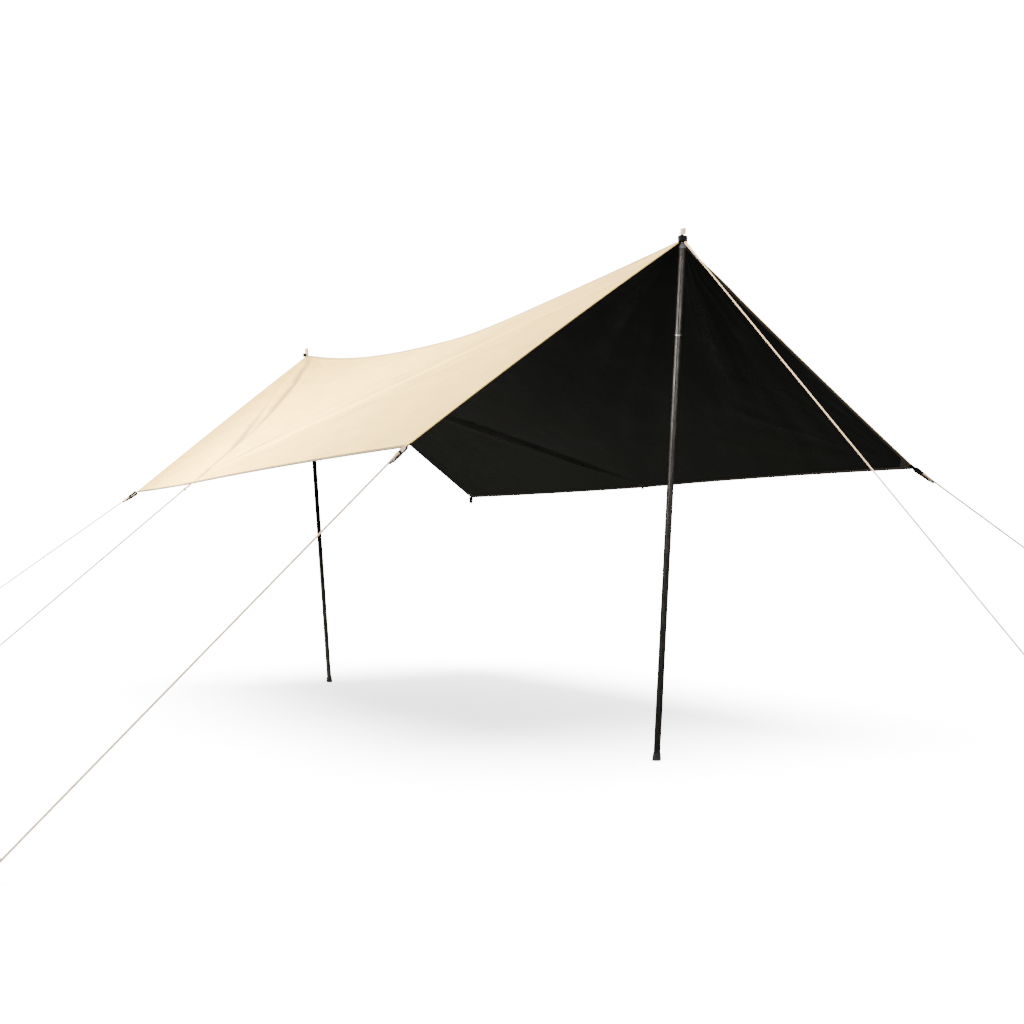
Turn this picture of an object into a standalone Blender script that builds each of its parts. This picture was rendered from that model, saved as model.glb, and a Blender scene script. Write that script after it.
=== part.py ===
"""Camping tarp on two poles: a cloth slung over a sagging ridge and held out by five guy lines.

Metres, +Z up. The origin is on the ground under the front pole's foot, and the ridge runs along Y.
"""

import math

import bmesh
import bpy
from mathutils import Vector

# Driving dimensions of the pitch
RIDGE_HALF = 2.450
PEAK_HEIGHT = 2.395
RIDGE_SAG = 0.165
RIDGE_SKEW = 0.280
FOOT_INSET = {"front": 0.255, "rear": 0.415}
TIE_POINTS = {
    ("front", "left"): (-1.375, -0.230, 1.435),
    ("front", "right"): (1.350, -0.295, 1.375),
    ("middle", "left"): (-1.565, 2.265, 1.360),
    ("middle", "right"): (1.440, 2.285, 1.365),
    ("rear", "left"): (-1.280, 4.630, 1.375),
    ("rear", "right"): (1.365, 4.655, 1.350),
}
PEGS = {
    ("front", "left"): (-3.150, -1.005),
    ("front", "right"): (3.080, -1.005),
    ("middle", "left"): (-3.150, 2.265),
    ("rear", "left"): (-3.020, 5.395),
    ("front", "peak"): (0.000, -2.925),
}

# Cloth
CLOTH_THICKNESS = 0.004
PANEL_SAG = 0.030
EAVE_BOW = 0.015
END_BOW = 0.025
ROWS_ALONG = 20
ROWS_ACROSS = 8

# Poles
POLE_RADIUS = 0.016
POLE_WALL = 0.0013
TUBE_TOP = 2.365
TIP_TOP = 2.450
TIP_SHOULDER = 2.388
UPPER_SECTION = 0.395
SPIGOT_LENGTH = 0.080
RING_HEIGHT = 0.006
RING_PROUD = 0.0012
FOOT_RADIUS = 0.0210
FOOT_HEIGHT = 0.037
FOOT_FLOOR = 0.010
FOOT_SOLE = 0.012
FOOT_LIP = 0.0025
SPIKE_RADIUS = 0.0045
TIP_STEM = 0.030
TIP_COLLAR = 0.004
TIP_NECK_RADIUS = 0.0075
ROUND_SIDES = 24

# Straps, rope, runners and pegs
GAP = 0.0003
STRAP_THICKNESS = 0.004
CORNER_STRAP = {"width": 0.025, "length": 0.042, "eye": 0.0055, "trim": 0.012}
MIDDLE_STRAP = {"width": 0.016, "length": 0.011, "eye": 0.0033, "trim": 0.001}
EYE_WALL = 0.0022
LIMP_INSET = 0.018
LIMP_TURN = 15
LIMP_CLEARANCE = 0.0005
TRIM_REACH = 0.250
PEAK_STRAP_SPAN = 0.042
PEAK_STRAP_LENGTH = 0.028
PEAK_STRAP_TOP = 2.422
PEAK_STRAP_BOTTOM = 2.378
PEAK_STRAP_PLAY = 0.00035
PEAK_STRAP_SHOULDER = 0.006
PEAK_TRIM = 0.003
ROPE_RADIUS = 0.0025
ROPE_RING_HEIGHT = 2.408
ROPE_LEAD = 0.010
ROPE_BEND = 0.0040
KNOT_DISTANCE = 0.045
RUNNER_DISTANCE = 0.103
RUNNER_FROM_PEG = 0.250
RUNNER_LENGTH = 0.016
RUNNER_HALF = (0.0085, 0.0050)
RUNNER_CORNER = 0.0025
STRAND_OFFSET = 0.0034
PEG_RADIUS = 0.004
PEG_LOOP_HEIGHT = 0.035
PEG_HOOK_RADIUS = 0.009
PEG_NECK = 0.012
PEG_SHANK = 0.010
TAIL_LENGTH = 0.070
STRAND_STRAIGHT = 0.008

UP = Vector((0.0, 0.0, 1.0))
END_SIGN = {"front": -1.0, "rear": 1.0}
SIDE_SIGN = {"left": -1.0, "right": 1.0}


def clear_scene():
    for obj in list(bpy.data.objects):
        bpy.data.objects.remove(obj, do_unlink=True)


def make_material(name, colour, roughness, metallic=0.0):
    material = bpy.data.materials.new(name)
    material.use_nodes = True
    shader = material.node_tree.nodes["Principled BSDF"]
    shader.inputs["Base Color"].default_value = (*colour, 1.0)
    shader.inputs["Roughness"].default_value = roughness
    shader.inputs["Metallic"].default_value = metallic
    return material


def add_object(name, mesh, material):
    obj = bpy.data.objects.new(name, mesh)
    bpy.context.scene.collection.objects.link(obj)
    mesh.materials.clear()
    mesh.materials.append(material)
    return obj


def object_from_bmesh(name, bm, material, smooth=False):
    bmesh.ops.recalc_face_normals(bm, faces=bm.faces)
    mesh = bpy.data.meshes.new(name)
    bm.to_mesh(mesh)
    bm.free()
    if smooth:
        mesh.shade_smooth()
        mesh.set_sharp_from_angle(angle=math.radians(35))
    return add_object(name, mesh, material)


def turned(name, profile, base, axis, material, level=False):
    """A body turned about an axis from a closed profile of (radius, distance along the axis)."""
    turn = UP.rotation_difference(axis).to_matrix()
    bm = bmesh.new()
    rings = []
    for radius, along in profile:
        if radius == 0.0:
            rings.append([bm.verts.new(base + axis * along)])
            continue
        ring = []
        for step in range(ROUND_SIDES):
            angle = 2 * math.pi * step / ROUND_SIDES
            offset = Vector((radius * math.cos(angle), radius * math.sin(angle), 0.0))
            ring.append(bm.verts.new(base + axis * along + turn @ offset))
        rings.append(ring)
    open_ends = len(rings[0]) == 1 and len(rings[-1]) == 1
    pairs = list(zip(rings, rings[1:]))
    if not open_ends:
        pairs.append((rings[-1], rings[0]))
    for lower, upper in pairs:
        for step in range(ROUND_SIDES):
            after = (step + 1) % ROUND_SIDES
            corners = [lower[step % len(lower)], lower[after % len(lower)]]
            corners += [upper[after % len(upper)], upper[step % len(upper)]]
            bm.faces.new(list(dict.fromkeys(corners)))
    if level:
        for vert in bm.verts:
            if (vert.co - base).dot(axis) < 1e-5:
                vert.co -= axis * (vert.co.z / axis.z)
    return object_from_bmesh(name, bm, material, smooth=True)


def holed_bar(name, outline, hole, frame, length, material):
    """A bar of the given outline with a round hole through it, extruded along the frame's third axis."""
    centre, across, over, along = frame
    hole_centre, hole_radius = hole
    circle = []
    for step in range(12):
        angle = 2 * math.pi * step / 12
        circle.append((hole_centre[0] + hole_radius * math.cos(angle),
                       hole_centre[1] + hole_radius * math.sin(angle)))
    bm = bmesh.new()
    edges = []
    for loop in (outline, circle):
        verts = [bm.verts.new(centre + across * a + over * b - along * (length / 2)) for a, b in loop]
        for first, second in zip(verts, verts[1:] + verts[:1]):
            edges.append(bm.edges.new((first, second)))
    bmesh.ops.triangle_fill(bm, edges=edges, use_beauty=True)
    extruded = bmesh.ops.extrude_face_region(bm, geom=bm.faces[:])
    moved = [item for item in extruded["geom"] if isinstance(item, bmesh.types.BMVert)]
    bmesh.ops.translate(bm, verts=moved, vec=along * length)
    return object_from_bmesh(name, bm, material)


def round_bar(name, points, radius, material):
    """A round bar or rope swept along points."""
    curve = bpy.data.curves.new(name, "CURVE")
    curve.dimensions = "3D"
    curve.bevel_depth = radius
    curve.bevel_resolution = 2
    curve.use_fill_caps = True
    spline = curve.splines.new("POLY")
    spline.points.add(len(points) - 1)
    for point, place in zip(spline.points, points):
        point.co = (*place, 1.0)
    obj = bpy.data.objects.new(name, curve)
    bpy.context.scene.collection.objects.link(obj)
    curve.materials.append(material)
    return obj


def arc(centre, first, second, radius, start, end, steps):
    """Points on an arc in the plane of two unit vectors, from start to end degrees."""
    points = []
    for step in range(steps + 1):
        angle = math.radians(start + (end - start) * step / steps)
        points.append(centre + first * (radius * math.cos(angle)) + second * (radius * math.sin(angle)))
    return points


def pole_axis(end):
    """The pole's foot point on the ground and its unit direction, leaning out at the top."""
    length = 2 * RIDGE_HALF - FOOT_INSET["front"] - FOOT_INSET["rear"]
    foot = Vector((0.0, 0.0 if end == "front" else length, 0.0))
    lean = Vector((0.0, END_SIGN[end] * FOOT_INSET[end], PEAK_HEIGHT))
    return foot, lean.normalized()


def height_on_axis(end, height):
    return height / pole_axis(end)[1].z


def peak_strap_centre(end):
    foot, axis = pole_axis(end)
    return foot + axis * height_on_axis(end, PEAK_STRAP_TOP)


def peak_strap_face(end):
    """The point at the peak to which the cloth is cut, a gap away from the strap's inner face."""
    offset = PEAK_STRAP_LENGTH / 2 + GAP
    return peak_strap_centre(end) - Vector((0.0, END_SIGN[end] * offset, 0.0))


def ridge_point(along):
    """The ridge of the cloth, with along from -1 at the front peak to 1 at the rear peak."""
    low = peak_strap_face("front").y - PEAK_TRIM
    high = peak_strap_face("rear").y + PEAK_TRIM
    y = low + (high - low) * (along + 1) / 2
    sag = RIDGE_SAG * (1 - along * along) * (1 + RIDGE_SKEW * along)
    return Vector((0.0, y, PEAK_HEIGHT - sag))


def eave_point(side, along):
    """The lower edge, bowed in a little between the corner and the middle tie point."""
    front = Vector(TIE_POINTS["front", side])
    middle = Vector(TIE_POINTS["middle", side])
    rear = Vector(TIE_POINTS["rear", side])
    if along < 0:
        start, stop, share = front, middle, along + 1
    else:
        start, stop, share = middle, rear, along
    bow = EAVE_BOW * 4 * share * (1 - share)
    return start.lerp(stop, share) + Vector((-SIDE_SIGN[side] * bow, 0.0, bow * 0.7))


def cloth_point(side, along, down):
    """A point of one slope, with down from 0 at the ridge to 1 at the eave."""
    point = ridge_point(along).lerp(eave_point(side, along), down)
    hollow = 4 * down * (1 - down)
    point.z -= PANEL_SAG * hollow
    point.y -= END_BOW * hollow * along * abs(along) ** 3
    return point


def trim_tip(bm, point, direction):
    """Cuts the cloth's tip off square, for the end of the strap that is sewn to it."""
    faces = [face for face in bm.faces if (face.calc_center_median() - point).length < TRIM_REACH]
    edges = {edge for face in faces for edge in face.edges}
    verts = {vert for face in faces for vert in face.verts}
    cut = bmesh.ops.bisect_plane(bm, geom=faces + list(edges) + list(verts), dist=1e-6,
                                 plane_co=point, plane_no=direction, clear_outer=True)
    edges = [item for item in cut["geom_cut"] if isinstance(item, bmesh.types.BMEdge)]
    bmesh.ops.edgenet_fill(bm, edges=edges)


def make_panel(side, material):
    """One slope of the cloth, from the ridge seam down to the eave."""
    bm = bmesh.new()
    seam = Vector((SIDE_SIGN[side] * GAP, 0.0, 0.0))
    rows = []
    for i in range(ROWS_ALONG + 1):
        along = -1 + 2 * i / ROWS_ALONG
        row = [cloth_point(side, along, j / ROWS_ACROSS) + seam for j in range(ROWS_ACROSS + 1)]
        rows.append([bm.verts.new(place) for place in row])
    for first, second in zip(rows, rows[1:]):
        for j in range(ROWS_ACROSS):
            bm.faces.new((first[j], first[j + 1], second[j + 1], second[j]))
    under = bmesh.ops.extrude_face_region(bm, geom=bm.faces[:])
    verts = [item for item in under["geom"] if isinstance(item, bmesh.types.BMVert)]
    bmesh.ops.translate(bm, verts=verts, vec=(0.0, 0.0, -CLOTH_THICKNESS))
    bmesh.ops.recalc_face_normals(bm, faces=bm.faces)
    for place in ("front", "middle", "rear"):
        if (place, side) in PEGS:
            tie, pull = tie_frame(place, side)[:2]
            trim_tip(bm, tie - pull * strap_sizes(place)["trim"], pull)
    for end, sign in END_SIGN.items():
        trim_tip(bm, peak_strap_face(end), Vector((0.0, sign, 0.0)))
    bmesh.ops.triangulate(bm, faces=bm.faces)
    return object_from_bmesh("canopy_" + side, bm, material, smooth=True)


def strap_sizes(place):
    return MIDDLE_STRAP if place == "middle" else CORNER_STRAP


def peg_loop(place, side):
    """The middle of the rope's turn round the peg."""
    return Vector((*PEGS[place, side], PEG_LOOP_HEIGHT))


def level_frame(start, pull):
    """Start, pull direction, level crosswise direction and the direction square to both."""
    across = UP.cross(pull).normalized()
    return start, pull, across, pull.cross(across)


def cloth_normal(place, side):
    """The upward normal of the slope near a tie point."""
    along = {"front": -1, "middle": 0, "rear": 1}[place]
    down = Vector(TIE_POINTS[place, side]) - ridge_point(along)
    normal = down.cross(Vector((0.0, 1.0, 0.0))).normalized()
    return -normal if normal.z < 0 else normal


def tie_frame(place, side):
    """The frame at half the thickness of the cloth, with its crosswise direction in the cloth's plane."""
    start = Vector(TIE_POINTS[place, side]) - UP * (CLOTH_THICKNESS / 2)
    pull = (peg_loop(place, side) - start).normalized()
    across = cloth_normal(place, side).cross(pull).normalized()
    return start, pull, across, pull.cross(across)


def spike_frame(end):
    foot, axis = pole_axis(end)
    start = foot + axis * height_on_axis(end, ROPE_RING_HEIGHT)
    return level_frame(start, (peg_loop(end, "peak") - start).normalized())


def strap_outline(sizes, tail):
    """The strap seen from its side: a doubled tail and a round eye."""
    half = STRAP_THICKNESS / 2
    outer = sizes["eye"] + EYE_WALL
    neck = math.degrees(math.asin(half / outer))
    outline = [(tail, -half)]
    for step in range(13):
        angle = math.radians(-180 + neck + (360 - 2 * neck) * step / 12)
        outline.append((sizes["length"] + outer * math.cos(angle), outer * math.sin(angle)))
    outline.append((tail, half))
    return outline


def make_strap(place, side, material):
    """A webbing loop pulled taut: its tail is butted to the cloth and its eye holds the rope."""
    sizes = strap_sizes(place)
    start, pull, across, over = tie_frame(place, side)
    hole = ((sizes["length"], 0.0), sizes["eye"])
    outline = strap_outline(sizes, GAP - sizes["trim"])
    frame = (start, pull, over, across)
    return holed_bar(f"webbing_{place}_{side}", outline, hole, frame, sizes["width"], material)


def make_limp_strap(place, side, material):
    """A webbing loop with no rope in it, which hangs straight down from the underside of the cloth."""
    sizes = strap_sizes(place)
    along = {"middle": 0, "rear": 1}[place]
    tie = Vector(TIE_POINTS[place, side])
    inward = (cloth_point(side, along * 0.9, 0.9) - tie).normalized()
    start = tie + inward * LIMP_INSET - UP * CLOTH_THICKNESS
    turn = math.radians(LIMP_TURN if place == "rear" else 0)
    across = Vector((math.sin(turn), math.cos(turn), 0.0))
    over = -UP.cross(across)
    normal = cloth_normal(place, side)
    lean = abs(normal.dot(across)) * sizes["width"] / 2 + abs(normal.dot(over)) * STRAP_THICKNESS / 2
    outline = strap_outline(sizes, LIMP_CLEARANCE + lean / normal.z)
    hole = ((sizes["length"], 0.0), sizes["eye"])
    frame = (start, -UP, over, across)
    return holed_bar(f"webbing_{place}_{side}", outline, hole, frame, sizes["width"], material)


def make_runner(name, frame, distance, strand, material):
    """A line runner: the standing line passes through it and the loop's tail ends against it."""
    start, pull, across, over = frame
    wide, high = RUNNER_HALF
    corner = RUNNER_CORNER
    outline = [(-wide + corner, -high), (wide - corner, -high), (wide, -high + corner), (wide, high - corner),
               (wide - corner, high), (-wide + corner, high), (-wide, high - corner), (-wide, -high + corner)]
    centre = start + pull * (distance + RUNNER_LENGTH / 2)
    hole = ((strand * STRAND_OFFSET, 0.0), ROPE_RADIUS + 2 * GAP)
    return holed_bar(name, outline, hole, (centre, across, over, pull), RUNNER_LENGTH, material)


def hitch_ends(frame, distance):
    """Where a loop at the top closes: the end of its tail, and the standing line beside it."""
    start, pull, across = frame[:3]
    face = start + pull * (distance - GAP)
    straight = face - pull * STRAND_STRAIGHT
    beyond = face + pull * (RUNNER_LENGTH + STRAND_STRAIGHT)
    tail = [face + across * STRAND_OFFSET, straight + across * STRAND_OFFSET]
    return tail, [straight - across * STRAND_OFFSET, beyond - across * STRAND_OFFSET]


def peg_turn(frame, loop):
    """Half a turn of rope round the peg."""
    pull, across = frame[1:3]
    reach = PEG_RADIUS + ROPE_RADIUS + GAP
    return arc(loop, across, pull, reach, 0, 180, 8)


def plain_peg_end(frame, loop):
    """The line's lower end: round the peg and back along itself to a short tail."""
    pull, across = frame[1:3]
    back = loop - pull * TAIL_LENGTH
    return [back + across * STRAND_OFFSET] + peg_turn(frame, loop) + [back - across * (STRAND_OFFSET - GAP)]


def runner_peg_end(frame, loop):
    """The line's lower end: through the runner, round the peg and back to the runner's lower face."""
    pull, across = frame[1:3]
    face = loop - pull * (RUNNER_FROM_PEG - GAP)
    straight = face + pull * STRAND_STRAIGHT
    before = face - pull * (RUNNER_LENGTH + STRAND_STRAIGHT)
    points = [before + across * STRAND_OFFSET, straight + across * STRAND_OFFSET]
    points += peg_turn(frame, loop)
    return points + [straight - across * STRAND_OFFSET, face - across * STRAND_OFFSET]


def eye_turn(frame, sizes):
    """The rope's way through a webbing eye, from one side of the strap to the other."""
    start, pull, across = frame[:3]
    centre = start + pull * (sizes["length"] + sizes["eye"] - ROPE_RADIUS - GAP + ROPE_BEND)
    step = across * (sizes["width"] / 2)
    points = arc(centre + step, across, -pull, ROPE_BEND, 0, 90, 4)
    return points + arc(centre - step, -across, -pull, ROPE_BEND, 90, 0, 4)


def spike_turn(end, frame):
    """The rope's way round the spike, and out on both sides toward the peg."""
    start, pull, across = frame[:3]
    axis = pole_axis(end)[1]
    outward = (pull - axis * pull.dot(axis)).normalized()
    reach = SPIKE_RADIUS + ROPE_RADIUS + GAP
    lead = start + outward * ROPE_LEAD
    points = [lead + across * reach] + arc(start, across, -outward, reach, 0, 180, 8)
    return points + [lead - across * reach]


def make_guy(place, side, finish):
    """A guy line from its top loop to its peg, with its runner and its peg."""
    loop = peg_loop(place, side)
    name = f"{place}_{side}"
    if side == "peak":
        frame = spike_frame(place)
        turn = spike_turn(place, frame)
    else:
        frame = tie_frame(place, side)
        turn = eye_turn(frame, strap_sizes(place))
    low_frame = level_frame(*frame[:2])
    at_corner = side != "peak" and place != "middle"
    distance = RUNNER_DISTANCE if at_corner else KNOT_DISTANCE
    tail, standing = hitch_ends(frame, distance)
    if at_corner:
        make_runner("runner_" + name, frame, distance, -1, finish["runner"])
        lower = plain_peg_end(low_frame, loop)
    else:
        from_top = (loop - frame[0]).length - RUNNER_FROM_PEG - RUNNER_LENGTH
        make_runner("runner_" + name, low_frame, from_top, 1, finish["runner"])
        lower = runner_peg_end(low_frame, loop)
    round_bar("guy_line_" + name, tail + turn + standing + lower, ROPE_RADIUS, finish["rope"])
    make_peg("peg_" + name, low_frame, loop, finish["steel"])


def make_peg(name, frame, loop, material):
    """The part of a hooked peg that stands out of the ground, cut level at the ground."""
    pull, over = frame[1], frame[3]
    ground = loop - over * (loop.z / over.z)
    neck = loop + over * PEG_NECK
    points = [ground - over * 2 * PEG_RADIUS, ground + over * PEG_SHANK, neck]
    points += arc(neck + pull * PEG_HOOK_RADIUS, -pull, over, PEG_HOOK_RADIUS, 20, 200, 9)
    swept = round_bar(name + "_sweep", points, PEG_RADIUS, material)
    graph = bpy.context.evaluated_depsgraph_get()
    mesh = bpy.data.meshes.new_from_object(swept.evaluated_get(graph))
    bpy.data.objects.remove(swept, do_unlink=True)
    for vert in mesh.vertices:
        if vert.co.z < 0:
            vert.co -= over * (vert.co.z / over.z)
    mesh.name = name
    mesh.shade_smooth()
    mesh.set_sharp_from_angle(angle=math.radians(50))
    return add_object(name, mesh, material)


def make_foot(end, material):
    """A rubber cup over the tube's end, its sole cut level with the ground."""
    foot, axis = pole_axis(end)
    bore = POLE_RADIUS + GAP
    lip = FOOT_RADIUS - FOOT_LIP
    chamfer = FOOT_LIP / 2
    profile = [(0.0, 0.0), (FOOT_RADIUS, 0.0), (FOOT_RADIUS, FOOT_SOLE), (lip, FOOT_HEIGHT - chamfer),
               (lip - chamfer, FOOT_HEIGHT), (bore, FOOT_HEIGHT), (bore, FOOT_FLOOR), (0.0, FOOT_FLOOR)]
    return turned("foot_" + end, profile, foot, axis, material, level=True)


def tube_profile(bottom, top):
    inner = POLE_RADIUS - POLE_WALL
    return [(inner, bottom), (POLE_RADIUS, bottom), (POLE_RADIUS, top), (inner, top)]


def make_pole(end, finish):
    """Foot, lower tube, joint ring, upper tube with its spigot, and the tip with its spike."""
    foot, axis = pole_axis(end)
    top = height_on_axis(end, TUBE_TOP)
    joint = top - UPPER_SECTION
    make_foot(end, finish["rubber"])
    lower_top = joint - RING_HEIGHT / 2 - GAP
    turned("pole_lower_" + end, tube_profile(FOOT_FLOOR + GAP, lower_top), foot, axis, finish["pole"])
    spigot = POLE_RADIUS - POLE_WALL - GAP
    inner = spigot - POLE_WALL
    ring = [(spigot + GAP, joint - RING_HEIGHT / 2), (POLE_RADIUS + RING_PROUD, joint - RING_HEIGHT / 2),
            (POLE_RADIUS + RING_PROUD, joint + RING_HEIGHT / 2), (spigot + GAP, joint + RING_HEIGHT / 2)]
    turned("joint_ring_" + end, ring, foot, axis, finish["ring"])
    shoulder = joint + RING_HEIGHT / 2 + GAP
    upper = [(inner, joint - SPIGOT_LENGTH), (spigot, joint - SPIGOT_LENGTH), (spigot, shoulder),
             (POLE_RADIUS, shoulder), (POLE_RADIUS, top), (POLE_RADIUS - POLE_WALL, top),
             (POLE_RADIUS - POLE_WALL, shoulder + 2 * POLE_WALL), (inner, shoulder + POLE_WALL)]
    turned("pole_upper_" + end, upper, foot, axis, finish["pole"])
    cone_top = height_on_axis(end, TIP_SHOULDER)
    tip_top = height_on_axis(end, TIP_TOP)
    tip = [(0.0, top - TIP_STEM), (spigot, top - TIP_STEM), (spigot, top + GAP), (POLE_RADIUS, top + GAP),
           (POLE_RADIUS, top + TIP_COLLAR), (TIP_NECK_RADIUS, cone_top), (SPIKE_RADIUS, cone_top + FOOT_LIP / 2),
           (SPIKE_RADIUS, tip_top - SPIKE_RADIUS), (SPIKE_RADIUS / 2, tip_top), (0.0, tip_top)]
    turned("pole_tip_" + end, tip, foot, axis, finish["tip"])


def make_peak_strap(end, material):
    """Webbing folded over the pole's tip, with an eyelet for the spike and a leg down each side."""
    centre = peak_strap_centre(end)
    half = PEAK_STRAP_SPAN / 2
    drop = PEAK_STRAP_TOP - PEAK_STRAP_BOTTOM
    inner = half - STRAP_THICKNESS
    shoulder = PEAK_STRAP_SHOULDER
    outline = [(-half, -drop), (-inner, -drop), (-inner, -STRAP_THICKNESS - shoulder / 2),
               (-inner + shoulder / 2, -STRAP_THICKNESS), (inner - shoulder / 2, -STRAP_THICKNESS),
               (inner, -STRAP_THICKNESS - shoulder / 2), (inner, -drop), (half, -drop), (half, -shoulder),
               (half - shoulder, 0.0), (-half + shoulder, 0.0), (-half, -shoulder)]
    bm = bmesh.new()
    face = bm.faces.new([bm.verts.new(centre + Vector((x, -PEAK_STRAP_LENGTH / 2, z))) for x, z in outline])
    extruded = bmesh.ops.extrude_face_region(bm, geom=[face])
    moved = [item for item in extruded["geom"] if isinstance(item, bmesh.types.BMVert)]
    bmesh.ops.translate(bm, verts=moved, vec=(0.0, PEAK_STRAP_LENGTH, 0.0))
    strap = object_from_bmesh("peak_strap_" + end, bm, material)
    hole = SPIKE_RADIUS + PEAK_STRAP_PLAY
    reach = 3 * STRAP_THICKNESS
    drill = turned("drill_" + end, [(0.0, -reach), (hole, -reach), (hole, reach), (0.0, reach)],
                   centre, pole_axis(end)[1], material)
    drill.hide_render = True
    drill.display_type = "WIRE"
    cut = strap.modifiers.new("eyelet", "BOOLEAN")
    cut.operation = "DIFFERENCE"
    cut.object = drill


def build():
    clear_scene()
    cream = make_material("cream_cloth", (0.88, 0.80, 0.68), 0.75)
    black_webbing = make_material("black_webbing", (0.015, 0.015, 0.014), 0.80)
    guy_finish = {
        "rope": make_material("cream_rope", (0.80, 0.70, 0.55), 0.80),
        "runner": make_material("dark_runner", (0.10, 0.10, 0.10), 0.45),
        "steel": make_material("peg_steel", (0.45, 0.45, 0.46), 0.35, 1.0),
    }
    pole_finish = {
        "rubber": make_material("black_rubber", (0.012, 0.012, 0.012), 0.85),
        "pole": make_material("black_powder_coat", (0.035, 0.032, 0.030), 0.45, 0.3),
        "ring": make_material("bright_ring", (0.60, 0.58, 0.55), 0.35, 1.0),
        "tip": make_material("tip_plastic", (0.02, 0.02, 0.02), 0.55),
    }
    for side in SIDE_SIGN:
        make_panel(side, cream)
    for end in END_SIGN:
        make_pole(end, pole_finish)
        make_peak_strap(end, black_webbing)
    for place, side in TIE_POINTS:
        hang = make_strap if (place, side) in PEGS else make_limp_strap
        hang(place, side, black_webbing)
    for place, side in PEGS:
        make_guy(place, side, guy_finish)


build()
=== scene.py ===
"""Camping tarp pitched on two poles: cream cloth with a black underside, slung from peak to peak.

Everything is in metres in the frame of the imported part: +Z up, +Y along the ridge.
"""

import math

import bmesh
import bpy
from mathutils import Matrix, Vector


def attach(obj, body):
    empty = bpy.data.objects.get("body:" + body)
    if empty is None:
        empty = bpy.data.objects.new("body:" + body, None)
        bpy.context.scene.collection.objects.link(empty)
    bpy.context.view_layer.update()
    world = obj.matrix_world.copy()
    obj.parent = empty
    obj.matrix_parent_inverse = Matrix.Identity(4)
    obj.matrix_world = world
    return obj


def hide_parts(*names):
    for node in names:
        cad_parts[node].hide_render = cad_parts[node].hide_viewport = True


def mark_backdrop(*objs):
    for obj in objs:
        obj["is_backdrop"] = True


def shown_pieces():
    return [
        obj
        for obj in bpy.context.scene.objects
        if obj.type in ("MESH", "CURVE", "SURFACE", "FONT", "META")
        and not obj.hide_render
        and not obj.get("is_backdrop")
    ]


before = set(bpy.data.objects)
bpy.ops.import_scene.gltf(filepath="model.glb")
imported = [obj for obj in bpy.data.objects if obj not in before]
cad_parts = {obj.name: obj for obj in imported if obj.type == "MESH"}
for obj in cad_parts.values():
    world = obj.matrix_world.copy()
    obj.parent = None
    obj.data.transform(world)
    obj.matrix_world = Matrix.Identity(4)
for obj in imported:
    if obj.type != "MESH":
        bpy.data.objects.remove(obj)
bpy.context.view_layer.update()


# Materials. A helper adds its nodes to the tree of the shader, node or output that it is given.

def feed(value, socket):
    """Sets a node's input, or links it where the value is another node's output."""
    if isinstance(value, bpy.types.NodeSocket):
        socket.id_data.links.new(value, socket)
    else:
        socket.default_value = value


def new_finish(name, roughness=0.5, specular=0.5, metallic=0.0):
    """A material and its shader, ready for texture nodes."""
    material = bpy.data.materials.new(name)
    material.use_nodes = True
    shader = material.node_tree.nodes["Principled BSDF"]
    feed(roughness, shader.inputs["Roughness"])
    feed(specular, shader.inputs["Specular IOR Level"])
    feed(metallic, shader.inputs["Metallic"])
    return material, shader


def add_node(near, kind, **inputs):
    """A node in the same tree as another node or output, with its inputs set or linked."""
    node = near.id_data.nodes.new("ShaderNode" + kind)
    for name, value in inputs.items():
        feed(value, node.inputs[name.replace("_", " ")])
    return node


def own_place(shader, stretch=(1.0, 1.0, 1.0)):
    """The point on the piece in metres, stretched where a pattern runs one way."""
    place = add_node(shader, "TexCoord").outputs["Object"]
    return add_node(shader, "Mapping", Vector=place, Scale=stretch).outputs["Vector"]


def split(vector):
    """The x, y and z of a point."""
    parts = add_node(vector, "SeparateXYZ", Vector=vector).outputs
    return parts["X"], parts["Y"], parts["Z"]


def figure(operation, *values):
    """One sum on outputs and numbers."""
    node = add_node(next(value for value in values if isinstance(value, bpy.types.NodeSocket)), "Math")
    node.operation = operation
    for value, socket in zip(values, node.inputs):
        feed(value, socket)
    return node.outputs[0]


def grain(vector, scale, detail=2.0, roughness=0.5):
    """Noise of the given fineness per metre."""
    noise = add_node(vector, "TexNoise", Vector=vector, Scale=scale, Detail=detail, Roughness=roughness)
    return noise.outputs["Fac"]


def between(factor, low, high, first=0.0, last=1.0):
    """Maps the part of a factor from low to high onto a new range, held at both ends."""
    span = add_node(factor, "MapRange", Value=factor, From_Min=low, From_Max=high, To_Min=first, To_Max=last)
    return span.outputs["Result"]


def tint(factor, first, second):
    """A colour from first to second by a factor; either may be a colour or a node's output."""
    mix = add_node(factor, "Mix")
    mix.data_type = "RGBA"
    feed(factor, mix.inputs["Factor"])
    for value, socket in ((first, mix.inputs[6]), (second, mix.inputs[7])):
        feed((*value, 1.0) if isinstance(value, tuple) else value, socket)
    return mix.outputs[2]


def paint(shader, colour, wear=None, smooth=0.5, rough=0.5):
    """Gives the surface its colour, and a roughness that follows a pattern if there is one."""
    feed(colour, shader.inputs["Base Color"])
    if wear is not None:
        feed(between(wear, 0.3, 0.7, smooth, rough), shader.inputs["Roughness"])


def relief(shader, height, distance, strength=1.0, over=None):
    """Raises the surface by a height, on top of an earlier relief."""
    bump = add_node(shader, "Bump", Height=height, Distance=distance, Strength=strength)
    if over is not None:
        feed(over, bump.inputs["Normal"])
    feed(bump.outputs["Normal"], shader.inputs["Normal"])
    return bump.outputs["Normal"]


# Poles. Each is a steel tube in two parts with a speckled black powder coat, plugged together
# at a thin turned ring, with a rubber cup for a foot and a moulded plug that carries the spike.

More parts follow.
